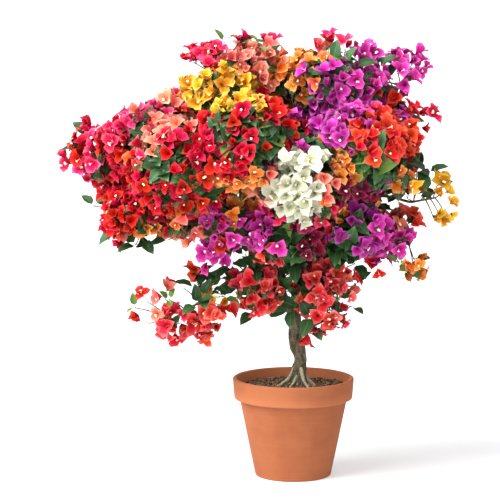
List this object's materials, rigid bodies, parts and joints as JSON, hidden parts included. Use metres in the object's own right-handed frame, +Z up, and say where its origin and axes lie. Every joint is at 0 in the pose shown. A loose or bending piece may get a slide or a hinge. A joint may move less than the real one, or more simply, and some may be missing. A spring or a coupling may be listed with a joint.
{
  "type": "bougainvillea bush in a pot",
  "caption": "Potted flowering shrub with one bent woody trunk, a wide crown of leaves and papery bracts in many colours, in a round clay pot with a deep collar.",
  "frame": {"origin": "middle of the pot's flat underside, at the ground", "axes": "+Z up; the plant's fullest, most flowered side faces -Y; +X to the right seen from that side"},
  "size_m": [0.9046, 0.7095, 1.0209],
  "materials": {
    "clay": "matte",
    "soil": "matte",
    "perlite": "matte",
    "bark": "matte",
    "root": "matte",
    "twig": "matte",
    "leaf": "satin",
    "young_leaf": "satin",
    "bract_red": "matte",
    "bract_pink": "matte",
    "bract_coral": "matte",
    "bract_orange": "matte",
    "bract_yellow": "matte",
    "bract_magenta": "matte",
    "bract_purple": "matte",
    "bract_white": "matte",
    "floret": "matte"
  },
  "bodies": {
    "root": {"bough_back_far_left": "bark", "bough_back_left": "bark", "bough_back_right": "bark", "bough_centre": "bark", "bough_front": "bark", "bough_front_centre": "bark", "bough_front_left": "bark", "bough_front_right": "bark", "bough_left": "bark", "bough_left_tip": "bark", "bough_low_back_left": "bark", "bough_low_back_right": "bark", "bough_low_far_right": "bark", "bough_low_front": "bark", "bough_low_front_left": "bark", "bough_low_left": "bark", "bough_low_right": "bark", "bough_right": "bark", "bough_right_tip": "bark", "bough_spray_left": "bark", "bough_top_back": "bark", "bough_top_centre": "bark", "bough_top_far_right": "bark", "bough_top_left": "bark", "bough_top_right": "bark", "foliage_back_far_left": "bract_pink", "foliage_back_left": "bract_magenta", "foliage_back_right": "bract_orange", "foliage_centre": "bract_red", "foliage_front": "bract_red", "foliage_front_centre": "bract_white", "foliage_front_left": "bract_red", "foliage_front_right": "bract_magenta", "foliage_left": "bract_coral", "foliage_left_tip": "bract_pink", "foliage_low_back_left": "bract_coral", "foliage_low_back_right": "bract_magenta", "foliage_low_far_right": "bract_magenta", "foliage_low_front": "bract_magenta", "foliage_low_front_left": "bract_coral", "foliage_low_left": "bract_red", "foliage_low_right": "bract_magenta", "foliage_right": "bract_orange", "foliage_right_tip": "bract_yellow", "foliage_spray_left": "bract_coral", "foliage_stem_left": "bract_red", "foliage_stem_right": "bract_red", "foliage_top_back": "bract_red", "foliage_top_centre": "bract_coral", "foliage_top_far_right": "bract_magenta", "foliage_top_left": "bract_yellow", "foliage_top_right": "bract_magenta", "leader_left": "bark", "leader_right": "bark", "pot": "clay", "soil": "soil", "trunk": "bark"}
  },
  "joints": []
}
